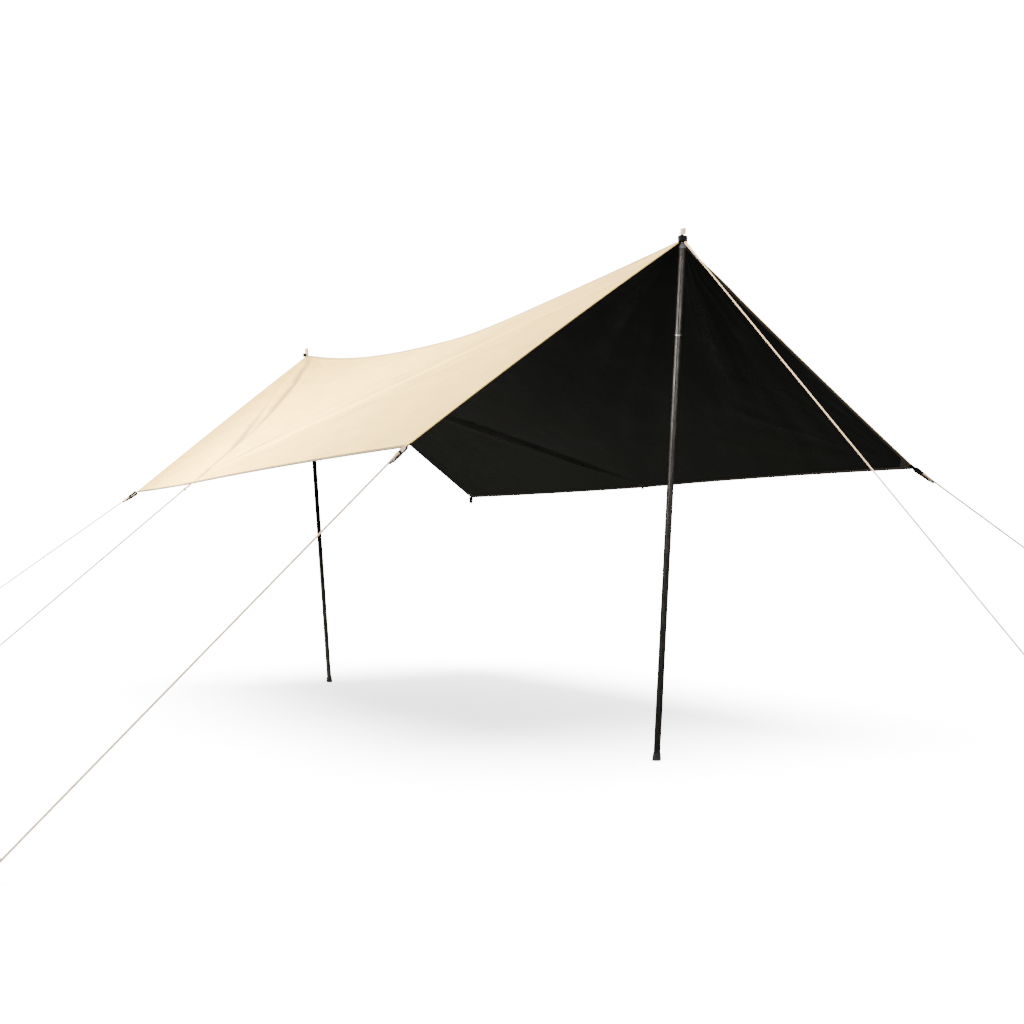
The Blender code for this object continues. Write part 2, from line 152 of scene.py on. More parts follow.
def powder_coat():
    """Black coat with a fine orange peel, grey-brown flecks and a little rub along its length."""
    material, shader = new_finish("pole_powder_coat", specular=0.22, metallic=0.9)
    feed((0.25, 0.25, 0.25, 1.0), shader.inputs["Specular Tint"])
    place = own_place(shader)
    flecks = between(grain(place, 420.0, 3.0), 0.56, 0.70)
    rub = between(grain(own_place(shader, (1.0, 1.0, 0.03)), 130.0), 0.48, 0.75)
    colour = tint(flecks, (0.020, 0.0185, 0.017), (0.090, 0.080, 0.070))
    colour = tint(rub, colour, (0.050, 0.045, 0.040))
    paint(shader, colour, grain(place, 60.0, 3.0), 0.34, 0.50)
    relief(shader, grain(place, 900.0), 0.00025, 0.5)
    return material


def turned_ring():
    """Turned metal with a dark finish, and the fine lines of the lathe round it."""
    material, shader = new_finish("turned_ring", metallic=1.0)
    lines = grain(own_place(shader, (1.0, 1.0, 60.0)), 120.0)
    colour = tint(lines, (0.080, 0.076, 0.070), (0.130, 0.124, 0.115))
    paint(shader, colour, lines, 0.24, 0.42)
    relief(shader, lines, 0.0001, 0.4)
    return material


DUST_HEIGHT = 0.016


def foot_rubber():
    """Matt black rubber, dusty toward the sole."""
    material, shader = new_finish("foot_rubber", specular=0.3)
    place = own_place(shader)
    dust = between(split(place)[2], DUST_HEIGHT, 0.0)
    patchy = figure("MULTIPLY", dust, between(grain(place, 160.0, 3.0), 0.35, 0.70))
    colour = tint(patchy, (0.010, 0.010, 0.010), (0.055, 0.048, 0.040))
    paint(shader, colour, grain(place, 300.0), 0.72, 0.92)
    relief(shader, grain(place, 700.0, 3.0), 0.0004, 0.6)
    return material


PLUG_TOP = 2.3885


def tip_plug():
    """Black moulded plug below, bare steel spike above."""
    material, shader = new_finish("tip_plug")
    place = own_place(shader)
    steel = between(split(place)[2], PLUG_TOP, PLUG_TOP + 0.001)
    scuff = grain(place, 500.0, 3.0)
    plastic = tint(scuff, (0.014, 0.014, 0.014), (0.030, 0.029, 0.028))
    paint(shader, tint(steel, plastic, (0.28, 0.27, 0.26)), scuff, 0.34, 0.55)
    feed(steel, shader.inputs["Metallic"])
    relief(shader, scuff, 0.0002, 0.4)
    return material


def dress(node, material):
    """Gives a solid of the frame its finish."""
    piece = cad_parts[node]
    piece.data.materials.clear()
    piece.data.materials.append(material)


pole_finishes = {
    "pole_lower_": powder_coat(),
    "joint_ring_": turned_ring(),
    "foot_": foot_rubber(),
    "pole_tip_": tip_plug(),
}
pole_finishes["pole_upper_"] = pole_finishes["pole_lower_"]
for pole in ("front", "rear"):
    for part, coat in pole_finishes.items():
        dress(part + pole, coat)


# Canopy. One sheet of coated polyester, cream above and black below, laid over the line between
# the peaks and pulled out at two corners and a middle tie on each side, so that the ridge sags
# and long shallow folds run from the peaks to the middle ties.

UP = Vector((0.0, 0.0, 1.0))
PEAKS = {"front": Vector((0.0, -0.243, 2.400)), "rear": Vector((0.0, 4.635, 2.400))}
CORNERS = {
    ("left", "front"): Vector((-1.375, -0.230, 1.435)),
    ("left", "middle"): Vector((-1.565, 2.265, 1.360)),
    ("left", "rear"): Vector((-1.280, 4.630, 1.375)),
    ("right", "front"): Vector((1.350, -0.295, 1.375)),
    ("right", "middle"): Vector((1.440, 2.285, 1.357)),
    ("right", "rear"): Vector((1.365, 4.655, 1.347)),
}
# How far the middle of the eave and of the gable edge at each corner stand off a straight line.
EDGE_BOWS = {
    ("left", "front"): (Vector((0.004, 0.0, 0.009)), Vector((0.0, 0.0, 0.012))),
    ("left", "rear"): (Vector((0.0, 0.0, -0.003)), Vector((0.0, 0.0, 0.006))),
    ("right", "front"): (Vector((-0.004, 0.0, 0.008)), Vector((0.0, 0.004, -0.006))),
    ("right", "rear"): (Vector((0.0, 0.0, -0.004)), Vector((0.0, 0.0, -0.006))),
}
RIDGE_SAG = 0.173
# The power of the ridge's curve at its middle, and how much it falls or rises to the two ends.
RIDGE_POWER = 1.84
RIDGE_POWER_CHANGE = 0.56
# The share of the sag that ends at the straight lines from the peaks to the middle ties, how
# softly it ends there, and how much each slope bellies.
DRAWN_STRAIGHT = 0.95
DRAWN_SOFTLY = 0.10
SLOPE_BELLY = 0.004


def sag_at(along, down):
    """How far the cloth hangs below the straight lines between its ties."""
    power = RIDGE_POWER + RIDGE_POWER_CHANGE * math.tanh(3.0 * along)
    even = (1 - abs(along) ** power) * (1 - down)
    reach = max(1 - down, 1e-6)
    inside = 1 - min(abs(along) / reach, 3.0) ** power
    rounded = (inside + math.hypot(inside, DRAWN_SOFTLY)) / 2 * reach * min(1.0, (1 - abs(along)) * 12)
    drawn = rounded if down > 0 else even
    return RIDGE_SAG * (even + (drawn - even) * DRAWN_STRAIGHT * min(1.0, down * 14))


def ridge_at(along):
    """The ridge, from -1 at the front peak to 1 at the rear one."""
    place = PEAKS["front"].lerp(PEAKS["rear"], (along + 1) / 2)
    place.z -= sag_at(along, 0.0)
    return place


def eave_at(side, along):
    """The lower edge, from the front corner over the middle tie to the rear corner."""
    end = "front" if along < 0 else "rear"
    share = 1 - abs(along)
    place = CORNERS[side, end].lerp(CORNERS[side, "middle"], share)
    return place + EDGE_BOWS[side, end][0] * (4 * share * (1 - share))


def gable_at(side, end, down):
    """The edge from a peak down to a corner."""
    return PEAKS[end].lerp(CORNERS[side, end], down) + EDGE_BOWS[side, end][1] * (4 * down * (1 - down))


def taut_at(side, along, down):
    """The sheet without its folds: each slope blended between its four edges."""
    share = (along + 1) / 2
    place = PEAKS["front"].lerp(PEAKS["rear"], share) * (1 - down) + eave_at(side, along) * down
    ends = gable_at(side, "front", down) * (1 - share) + gable_at(side, "rear", down) * share
    front = PEAKS["front"].lerp(CORNERS[side, "front"], down)
    rear = PEAKS["rear"].lerp(CORNERS[side, "rear"], down)
    place += ends - (front * (1 - share) + rear * share)
    place.z -= sag_at(along, down) + SLOPE_BELLY * 4 * down * (1 - down) * (1 - along * along)
    return place


HALF_LENGTH = 2.44
SLOPE = 1.72
# Folds on the flat cloth, in metres across and along from its middle: both ends, half width, depth
# and how far the cloth beside the fold stands up for it.
FOLDS = {
    "left": [
        ((-0.05, 2.32), (-1.45, 0.40), 0.055, 0.018, 0.5),
        ((-0.45, 2.08), (-1.67, 0.05), 0.030, 0.009, 0.5),
        ((-0.03, 2.30), (-0.60, 0.80), 0.060, 0.008, 0.3),
        ((-0.03, 2.10), (-0.20, 1.05), 0.050, 0.005, 0.3),
        ((-1.66, -0.05), (-0.50, -1.85), 0.036, -0.009, 0.4),
        ((-1.62, 0.32), (-0.60, -0.76), 0.036, -0.008, 0.4),
        ((-1.55, -0.50), (-0.70, -2.00), 0.034, 0.007, 0.4),
        ((-0.75, -0.62), (-0.20, -1.75), 0.036, 0.008, 0.3),
        ((-1.66, 2.25), (-0.90, 1.98), 0.085, 0.014, 0.3),
        ((-1.60, -0.30), (-1.60, -1.80), 0.045, 0.005, 0.4),
    ],
    "right": [
        ((0.05, 2.36), (1.69, 0.02), 0.032, 0.016, 0.4),
        ((0.05, -2.34), (1.35, -0.30), 0.090, 0.010, 0.4),
        ((0.04, -2.34), (0.95, -0.30), 0.070, 0.009, 0.4),
        ((0.04, -2.30), (0.60, -0.95), 0.060, 0.008, 0.4),
        ((0.06, -2.40), (1.10, -1.75), 0.070, 0.009, 0.4),
        ((1.66, -2.38), (1.10, -1.55), 0.045, 0.008, 0.4),
        ((1.67, -2.30), (1.35, -1.10), 0.040, 0.007, 0.4),
        ((1.66, -1.85), (1.66, -0.50), 0.040, 0.005, 0.4),
    ],
}
# In half widths of a fold: how far it reaches, where its shoulder is and how wide that is.
FOLD_REACH = 5.0
SHOULDER_AT = 1.9
SHOULDER_WIDTH = 1.1


def fold_depth(side, along, down):
    """How far the folds lift or sink the cloth at a place."""
    x, y = down * SLOPE * (-1 if side == "left" else 1), along * HALF_LENGTH
    depth = 0.0
    for start, end, width, sink, shoulder in FOLDS[side]:
        dx, dy = end[0] - start[0], end[1] - start[1]
        length = math.hypot(dx, dy)
        share = ((x - start[0]) * dx + (y - start[1]) * dy) / (length * length)
        away = ((x - start[0]) * dy - (y - start[1]) * dx) / length / width
        if 0.0 < share < 1.0 and abs(away) < FOLD_REACH:
            fade = min(1.0, share * 6.0, (1.0 - share) * 6.0)
            raised = shoulder * math.exp(-((away - SHOULDER_AT) / SHOULDER_WIDTH) ** 2)
            depth -= sink * fade * (math.exp(-away * away) - raised)
    return depth * min(1.0, (1 - down) * 25)


def ways_at(shape, side, along, down, step):
    """The outward normal of a shape of the sheet at a place, and its ways along and down."""
    run = shape(side, min(along + step, 1.0), down) - shape(side, max(along - step, -1.0), down)
    fall = shape(side, along, min(down + step, 1.0)) - shape(side, along, max(down - step, 0.0))
    normal = fall.cross(run).normalized()
    return -normal if normal.z < 0 else normal, run.normalized(), fall.normalized()


def cloth_at(side, along, down):
    """A place on the sheet, folds and all."""
    normal = ways_at(taut_at, side, along, down, 0.01)[0]
    return taut_at(side, along, down) + normal * fold_depth(side, along, down)


def strip_grid(name, columns, rows, place_of, pattern):
    """A grid shaped by a rule from (column, row) to a place and a point on the flat piece."""
    bpy.ops.mesh.primitive_grid_add(x_subdivisions=columns, y_subdivisions=rows, size=2.0)
    piece = bpy.context.object
    piece.name = piece.data.name = name
    layer = piece.data.uv_layers.active
    layer.name = pattern
    spots = {}
    for vertex in piece.data.vertices:
        column = round((vertex.co.x + 1) / 2 * columns)
        row = round((vertex.co.y + 1) / 2 * rows)
        vertex.co, spots[vertex.index] = place_of(column, row)
    for loop in piece.data.loops:
        layer.data[loop.index].uv = spots[loop.vertex_index]
    return piece


ROWS_ALONG = 240
ROWS_ACROSS = 84


def hung_at(column, row):
    """The place of a point of the sheet's grid, and its place on the flat cloth."""
    across, along = column / ROWS_ACROSS - 1, 2 * row / ROWS_ALONG - 1
    place = cloth_at("left" if across < 0 else "right", along, abs(across))
    return place, (across * SLOPE, along * HALF_LENGTH)


def flat_place(shader, pattern, stretch=(1.0, 1.0, 1.0)):
    """The point on a piece laid flat, in metres, in the flat pattern of that name."""
    cut = add_node(shader, "UVMap")
    cut.uv_map = pattern
    return add_node(shader, "Mapping", Vector=cut.outputs["UV"], Scale=stretch).outputs["Vector"]


def placed_round(place, centre, angle, size):
    """The place seen from a centre, turned and measured in the given sizes."""
    seen = add_node(place, "Mapping", Vector=place, Location=(*centre, 0.0), Rotation=(0.0, 0.0, angle),
                    Scale=(*size, 1.0))
    seen.vector_type = "TEXTURE"
    return seen.outputs["Vector"]


def nearness(seen):
    """One at the centre of a place seen from there, and nothing at its size."""
    fade = add_node(seen, "TexGradient", Vector=seen)
    fade.gradient_type = "SPHERICAL"
    return fade.outputs["Fac"]


def joined(x, y, z=0.0):
    """The point from its x, y and z."""
    return add_node(x, "CombineXYZ", X=x, Y=y, Z=z).outputs["Vector"]


def crease(place, start, end, width):
    """A sharp crease between two places on the flat cloth that tapers to both ends."""
    centre = ((start[0] + end[0]) / 2, (start[1] + end[1]) / 2)
    angle = math.atan2(end[1] - start[1], end[0] - start[0])
    return nearness(placed_round(place, centre, angle, (math.dist(start, end) / 2, width)))


def pull_wrinkles(place, tie, inward, count, reach):
    """Wrinkles that run out from a tie and fade with distance."""
    seen = placed_round(place, tie, math.radians(inward), (reach, reach))
    x, y = split(seen)[:2]
    near = nearness(seen)
    angle = figure("MULTIPLY", figure("ARCTAN2", y, x), count)
    waves = grain(joined(angle, near, 3.7 * tie[0] + tie[1]), 1.0, 2.0, 0.45)
    swell = figure("MULTIPLY", near, figure("SUBTRACT", 1.0, near))
    return figure("MULTIPLY", figure("SUBTRACT", waves, 0.5), swell)


# Creases pressed into the cloth, in metres across and along from its middle: both ends, half
# width, depth and the shade painted into it, negative for a painted highlight. The left slope's show on top.
TOP_CREASES = [
    ((0.42, 2.97), (-1.62, 0.16), 0.046, 0.020, 0.75),
    ((-0.42, 2.13), (-2.30, -1.01), 0.036, 0.013, 0.75),
    ((-1.95, 0.45), (-0.15, -2.63), 0.038, -0.014, -0.95),
    ((-1.90, 0.62), (-0.45, -0.92), 0.036, -0.013, -0.80),
    ((-1.88, 0.42), (-0.55, -0.72), 0.020, 0.008, 0.40),
    ((-1.70, -0.23), (-0.65, -2.20), 0.032, 0.012, 0.62),
    ((-0.95, -0.20), (0.00, -2.10), 0.034, 0.010, 0.55),
    ((-0.98, 0.04), (-0.05, -0.48), 0.022, 0.007, 0.35),
]
UNDER_CREASES = [
    ((-0.10, 2.87), (1.74, -0.21), 0.075, 0.020, 1.00),
    ((0.55, 1.92), (1.72, 0.10), 0.018, -0.004, -0.20),
    ((0.60, 0.78), (0.78, 0.47), 0.012, 0.004, 0.30),
]
# How far the creases and wrinkles stray from their straight lines.
STRAY = 0.02
# Where the cloth is held: the place on it, the way inward in degrees, how close the wrinkles lie,
# how far they reach and how strong they are on the top and underneath.
TIES = [
    ((0.0, -2.44), 90.0, 4.0, 2.8, (0.050, 0.085)),
    ((0.0, 2.44), -90.0, 6.0, 1.5, (0.110, 0.040)),
    ((1.72, 0.0), 180.0, 11.0, 1.7, (0.060, 0.004)),
    ((1.72, -2.44), 135.0, 7.0, 1.3, (0.022, 0.040)),
    ((1.72, 2.44), -135.0, 8.0, 1.0, (0.070, 0.020)),
]


def pitched_shape(shader, creases, face):
    """The height of the creases and pull wrinkles, and the shade painted into the creases, negative for a
    painted highlight.
    """
    loose = flat_place(shader, "cloth")
    shake = add_node(loose, "TexNoise", Vector=loose, Scale=2.6)
    shake.normalize = False
    moved = add_node(loose, "VectorMath")
    moved.operation = "MULTIPLY_ADD"
    for value, socket in zip((shake.outputs["Color"], (STRAY, STRAY, 0.0), loose), moved.inputs):
        feed(value, socket)
    place = moved.outputs["Vector"]
    height, painted_shading = 0.0, 0.0
    for start, end, width, depth, crease_painted_shading in creases:
        line = crease(place, start, end, width)
        height = figure("MULTIPLY_ADD", line, -depth, height)
        painted_shading = figure("MULTIPLY_ADD", line, crease_painted_shading, painted_shading)
    x, y = split(place)[:2]
    either_side = joined(figure("ABSOLUTE", x), y)
    for tie, inward, count, reach, strengths in TIES:
        wrinkles = pull_wrinkles(either_side, tie, inward, count, reach)
        height = figure("MULTIPLY_ADD", wrinkles, strengths[face] * reach, height)
    return height, painted_shading


CREAM_LIGHT = (0.83, 0.558, 0.128)
CREAM_DARK = (0.655, 0.428, 0.092)
CREAM_SHADE = (0.56, 0.368, 0.090)
# Painted shade for the creases, and a paler cream that is a painted highlight along the bright streaks and
# random wear on the hem.
CREAM_PAINTED_CREASE_SHADE = (0.36, 0.235, 0.085)
CREAM_PALE_HIGHLIGHT = (0.95, 0.655, 0.150)
# The cream's darker band over the ridge seam, from where it ends to where it is whole.
SEAM_BAND = (0.030, 0.018)


def cream_cloth():
    """Cream polyester: a plain weave, a faint mottle, the crinkle of a packed cloth, and painted shade and
    highlights along its creases.
    """
    material, shader = new_finish("cream_cloth", specular=0.2)
    feed(0.1, shader.inputs["Sheen Weight"])
    feed(0.5, shader.inputs["Sheen Roughness"])
    place = flat_place(shader, "cloth")
    mottle = grain(flat_place(shader, "cloth", (1.6, 0.6, 1.0)), 6.0, 5.0, 0.6)
    threads = grain(flat_place(shader, "cloth", (1.0, 4.0, 1.0)), 260.0)
    colour = tint(between(mottle, 0.3, 0.7), CREAM_DARK, CREAM_LIGHT)
    colour = tint(between(threads, 0.35, 0.75, 0.0, 0.35), colour, CREAM_SHADE)
    seam = between(figure("ABSOLUTE", split(place)[0]), *SEAM_BAND, 0.0, 0.8)
    colour = tint(seam, colour, CREAM_SHADE)
    height, painted_shading = pitched_shape(shader, TOP_CREASES, 0)
    # Shade painted into the creases, and highlights painted along the bright streaks.
    colour = tint(between(painted_shading, 0.02, 0.50), colour, CREAM_PAINTED_CREASE_SHADE)
    colour = tint(between(painted_shading, -0.02, -0.45), colour, CREAM_PALE_HIGHLIGHT)
    paint(shader, colour, threads, 0.74, 0.88)
    pulled = relief(shader, height, 1.0)
    crinkle = relief(shader, grain(place, 9.0, 5.0, 0.55), 0.004, 0.5, over=pulled)
    relief(shader, threads, 0.0004, 0.3, over=crinkle)
    return material


def black_cloth():
    """The coated underside: near black, close and dull, with the same crinkle, and painted shade and a
    painted highlight along its folds.
    """
    material, shader = new_finish("black_cloth", specular=0.05)
    place = flat_place(shader, "cloth")
    mottle = grain(place, 4.0, 4.0, 0.6)
    threads = grain(flat_place(shader, "cloth", (1.0, 4.0, 1.0)), 260.0)
    patchy = between(mottle, 0.35, 0.7)
    colour = tint(patchy, (0.0085, 0.0085, 0.0075), (0.0145, 0.0148, 0.0128))
    height, painted_shading = pitched_shape(shader, UNDER_CREASES, 1)
    # Painted shade: the cloth goes to black in the deep fold. Below, a painted highlight on the thin line
    # beside it.
    colour = tint(between(painted_shading, 0.08, 0.26, 0.0, 0.92), colour, (0.001, 0.001, 0.001))
    colour = tint(between(painted_shading, -0.05, -0.40), colour, (0.026, 0.026, 0.022))
    paint(shader, colour, mottle, 0.55, 0.75)
    pulled = relief(shader, height, 1.0)
    crinkle = relief(shader, grain(place, 8.0, 5.0, 0.55), 0.0025, 0.6, over=pulled)
    relief(shader, threads, 0.0003, 0.3, over=crinkle)
    return material


def thicken(piece, thickness):
    """Gives a flat piece its thickness, half to each side."""
    bulk = piece.modifiers.new("thickness", "SOLIDIFY")
    bulk.thickness = thickness
    bulk.offset = 0.0
    return bulk


def apply_modifiers(piece):
    """Selects a piece alone and applies its modifiers in order."""
    bpy.ops.object.select_all(action="DESELECT")
    piece.select_set(True)
    bpy.context.view_layer.objects.active = piece
    for name in [modifier.name for modifier in piece.modifiers]:
        bpy.ops.object.modifier_apply(modifier=name)


CLOTH_THICKNESS = 0.0012
canopy = strip_grid("canopy", 2 * ROWS_ACROSS, ROWS_ALONG, hung_at, "cloth")
canopy.data.materials.append(cream_cloth())
canopy.data.materials.append(black_cloth())
skin = thicken(canopy, CLOTH_THICKNESS)
skin.material_offset = 1
skin.material_offset_rim = 0
apply_modifiers(canopy)
canopy.data.shade_smooth()
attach(canopy, "root")
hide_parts("canopy_left", "canopy_right")


# Hem. The cloth's edge is folded over twice and sewn down with two rows of thread. Underneath, and
# on top along the eaves and the rear gable, the band shows the grey-brown back of the coating.

HEM_WIDTH = 0.016
HEM_OUTSIDE = 0.004
HEM_STANDS = 0.0026
HEM_STEPS = 150


def surface_at(side, along, down):
    """A place on the sheet with its outward normal and its ways along and down."""
    return (cloth_at(side, along, down), *ways_at(cloth_at, side, along, down, 0.004))


def cloth_rim():
    """The rim of the whole cloth in order, each point with its normal and the way inward."""
    rim = []
    for side, end, start, stop in (("left", -1, 0, 1), ("left", 0, -1, 1), ("left", 1, 1, 0),
                                   ("right", 1, 0, 1), ("right", 0, 1, -1), ("right", -1, 1, 0)):
        for step in range(HEM_STEPS):
            share = start + (stop - start) * step / HEM_STEPS
            place, normal, run, fall = surface_at(side, *((end, share) if end else (share, 1.0)))
            rim.append((place, normal, -end * run if end else -fall))
    return rim


def close_up(piece, smooth_angle=40):
    """Applies the modifiers, joins meeting edges, fills open ends and turns the faces outward."""
    apply_modifiers(piece)
    shell = bmesh.new()
    shell.from_mesh(piece.data)
    bmesh.ops.remove_doubles(shell, verts=shell.verts, dist=1e-6)
    rims = [edge for edge in shell.edges if edge.is_boundary]
    if rims:
        bmesh.ops.holes_fill(shell, edges=rims)
    bmesh.ops.recalc_face_normals(shell, faces=shell.faces)
    shell.to_mesh(piece.data)
    shell.free()
    bpy.ops.object.shade_smooth_by_angle(angle=math.radians(smooth_angle))
    return piece


def lengths_along(points):
    """How far along a path each of its points is."""
    run = [0.0]
    for first, second in zip(points, points[1:]):
        run.append(run[-1] + math.dist(first, second))
    return run


def fit(piece, finish, slot, *solids):
    """Gives a piece its finish and hangs it in the frame, in place of the solids named."""
    piece.data.materials.append(finish)
    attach(piece, "root")
    if solids:
        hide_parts(*solids)


def sewn_hem():
    """The band round the whole rim: over the top, round the edge and back along the underside."""
    rim = cloth_rim()
    distance = lengths_along([place for place, normal, inward in rim + rim[:1]])
    turned = -HEM_OUTSIDE + 0.001
    outline = [(HEM_WIDTH, 0.0), (HEM_WIDTH, HEM_STANDS), (turned, HEM_STANDS), (-HEM_OUTSIDE, 0.0),
               (turned, -HEM_STANDS), (HEM_WIDTH, -HEM_STANDS), (HEM_WIDTH, 0.0)]
    reach = lengths_along(outline)

    def place_of(column, row):
        place, normal, inward = rim[column % len(rim)]
        away, above = outline[row]
        return place + inward * away + normal * above, (distance[column], reach[row] - reach[3])
    hem = close_up(strip_grid("canopy_hem", len(rim), len(outline) - 1, place_of, "hem"))
    return hem, distance[HEM_STEPS], distance[5 * HEM_STEPS]


STITCH = 0.0022
STITCH_ROWS = 0.0030
BACK_DARK = (0.090, 0.072, 0.056)
BACK_LIGHT = (0.150, 0.122, 0.097)
BACK_TURNED = (0.115, 0.092, 0.070)


def hem_finish(front_left, front_right):
    """Grey-brown, but cream on top of the front gable, with two rows of stitches on each face."""
    material, shader = new_finish("hem_cloth", 0.85, 0.15)
    flat = flat_place(shader, "hem")
    far, across = split(flat)[:2]
    under = between(across, 0.0012, 0.0022)
    past = between(far, front_left, front_left + 0.02)
    before = between(far, front_right, front_right - 0.02)
    turned = between(across, -0.0205, -0.0190)
    turned = figure("MULTIPLY", turned, figure("MULTIPLY", past, before))
    stitched = between(figure("PINGPONG", far, STITCH), 0.0008, 0.0010)
    row = figure("PINGPONG", figure("ABSOLUTE", across), STITCH_ROWS)
    thread = figure("MULTIPLY", stitched, between(row, 0.0022, 0.0026))
    worn = grain(flat, 90.0, 3.0)
    # On the hem the paler cream only marks random wear.
    top = tint(turned, tint(worn, CREAM_LIGHT, CREAM_PALE_HIGHLIGHT), BACK_TURNED)
    band = tint(under, top, tint(worn, BACK_DARK, BACK_LIGHT))
    sewn = tint(under, CREAM_SHADE, (0.26, 0.22, 0.17))
    paint(shader, tint(thread, band, sewn))
    pucker = relief(shader, grain(flat, 220.0), 0.0006, 0.5)
    relief(shader, thread, 0.0004, 0.6, over=pucker)
    return material


hem, *gable_ends = sewn_hem()
fit(hem, hem_finish(*gable_ends), "canopy_cloth")


# Ridge seam. The two halves of the cloth are joined along the ridge in a felled seam, whose fold
# stands up as a thin brown-grey bead.

def cord_tube(name, points, radius, sides=10):
    """A cord swept along points, its pattern measured in metres along it."""
    ways = [(after - before).normalized()
            for before, after in zip(points[:1] + points[:-1], points[1:] + points[-1:])]
    side_way = ways[0].orthogonal().normalized()
    run = lengths_along(points)
    frames = []
    for index, way in enumerate(ways):
        if index:
            side_way = ways[index - 1].rotation_difference(way) @ side_way
        frames.append((side_way, way.cross(side_way)))

    def place_of(column, row):
        turn = 2 * math.pi * (row % sides) / sides
        first, second = frames[column]
        offset = first * math.cos(turn) + second * math.sin(turn)
        thick = radius[column] if isinstance(radius, list) else radius
        return points[column] + offset * thick, (run[column], row / sides)
    return close_up(strip_grid(name, len(points) - 1, sides, place_of, "cord"), 60)


BEAD_RADIUS = 0.0030
BEAD_RAISED = 0.0012
# The share of the ridge that the bead covers, and its steps.
BEAD_REACH = 0.985
BEAD_STEPS = 120


def ridge_bead():
    """The bead along the ridge, from peak to peak."""
    points = [ridge_at(BEAD_REACH * (2 * step / BEAD_STEPS - 1)) + UP * BEAD_RAISED
              for step in range(BEAD_STEPS + 1)]
    return cord_tube("ridge_seam", points, BEAD_RADIUS, 8)


def bead_finish():
    """The raw edge of the seam: brown-grey thread over cream cloth."""
    material, shader = new_finish("seam_bead", 0.85)
    worn = between(grain(own_place(shader), 120.0, 3.0), 0.35, 0.65)
    paint(shader, tint(worn, (0.16, 0.125, 0.090), (0.42, 0.32, 0.17)))
    relief(shader, grain(own_place(shader), 700.0), 0.0004, 0.6)
    return material


fit(ridge_bead(), bead_finish(), "canopy_cloth")


# Corner patches. A doubled triangle of the same cloth sewn under each corner and each middle tie,
# where the webbing pulls; its raw coating looks grey-brown beside the black.

PATCH_REACHES = {"front": 0.105, "middle": 0.060, "rear": 0.105}
PATCH_BELOW = 0.0011
PATCH_THICKNESS = 0.0007


def corner_patch(where, side):
    """A patch under the cloth that narrows to the tie, as a fan of rows round the tie."""
    rays, rings = 12, 8
    reach = PATCH_REACHES[where]

    def place_of(column, row):
        share, spread = column / rings, row / rays
        if where == "middle":
            along = (spread * 2 - 1) * reach / HALF_LENGTH * share
            down = 1 - (1 - abs(spread * 2 - 1)) * 0.8 * reach / SLOPE * share
        else:
            end = -1 if where == "front" else 1
            along = end * (1 - reach / HALF_LENGTH * share * (1 - spread))
            down = 1 - reach / SLOPE * share * spread
        place, normal = surface_at(side, along, down)[:2]
        return place - normal * PATCH_BELOW, (share * reach, (spread - 0.5) * share * reach)
    patch = strip_grid(f"patch_{where}_{side}", rings, rays, place_of, "patch")
    thicken(patch, PATCH_THICKNESS)
    return close_up(patch)


def patch_finish():
    """The back of the coating: mottled grey-brown with paler threads."""
    material, shader = new_finish("patch_cloth", 0.85, 0.15)
    flat = flat_place(shader, "patch")
    mottle = between(grain(flat, 160.0, 4.0, 0.7), 0.40, 0.62)
    threads = grain(flat, 900.0)
    colour = tint(mottle, (0.030, 0.026, 0.022), (0.150, 0.125, 0.108))
    paint(shader, tint(between(threads, 0.5, 0.7), colour, (0.22, 0.19, 0.16)))
    relief(shader, threads, 0.0005, 0.5)
    return material


patch_cloth = patch_finish()
patches = [corner_patch(where, side) for side in ("left", "right") for where in PATCH_REACHES]
for patch in patches:
    fit(patch, patch_cloth, "canopy_cloth")


# Webbing. Each tie is a length of black polyester webbing folded into a loop, its two ends sewn
# between the layers of a corner; the loop carries the guy line, or hangs limp where there is none.
# At three corners the pull has turned it on edge, and a tongue of the cloth lies along its top.

PEG_TOPS = {
    ("front", "left"): Vector((-3.150, -1.005, 0.035)),
    ("front", "right"): Vector((3.080, -1.005, 0.035)),
    ("middle", "left"): Vector((-3.150, 2.265, 0.035)),
    ("rear", "left"): Vector((-3.020, 5.395, 0.035)),
    ("front", "peak"): Vector((0.0, -2.925, 0.035)),
}
# Width, length and the radius of the eye of each loop.
LOOP_SIZES = {
    ("front", "left"): (0.026, 0.043, 0.0055),
    ("front", "right"): (0.030, 0.040, 0.0055),
    ("rear", "left"): (0.034, 0.056, 0.0055),
    ("rear", "right"): (0.032, 0.042, 0.0055),
    ("middle", "left"): (0.016, 0.011, 0.0033),
    ("middle", "right"): (0.016, 0.011, 0.0033),
}
# How far the pull turns a loop on edge, in degrees, and the distance in which it does so.
LOOP_TURNS = {("front", "left"): -73.0, ("front", "right"): -62.0, ("rear", "left"): -82.0}
TURNED_WITHIN = 0.006
# The width of the tongue on each turned loop, and how far it lies off the middle.
TONGUES = {("front", "left"): (0.017, -0.0035), ("front", "right"): (0.014, 0.0),
           ("rear", "left"): (0.003, 0.0)}
TONGUE_START = -0.016
TONGUE_SHORTER = 0.008
TONGUE_THICKNESS = 0.0010
WEBBING_THICKNESS = 0.0016
WEBBING_TAIL = 0.030
# How far under the cloth a pulled loop starts; and for a limp one, how it is turned in degrees,
# and how far it starts in from the corner and under the cloth.
TIE_BELOW = 0.002
LIMP_TURNS = {"middle": 0.0, "rear": -60.0}
LIMP_INWARD = 0.010
LIMP_BELOW = 0.003


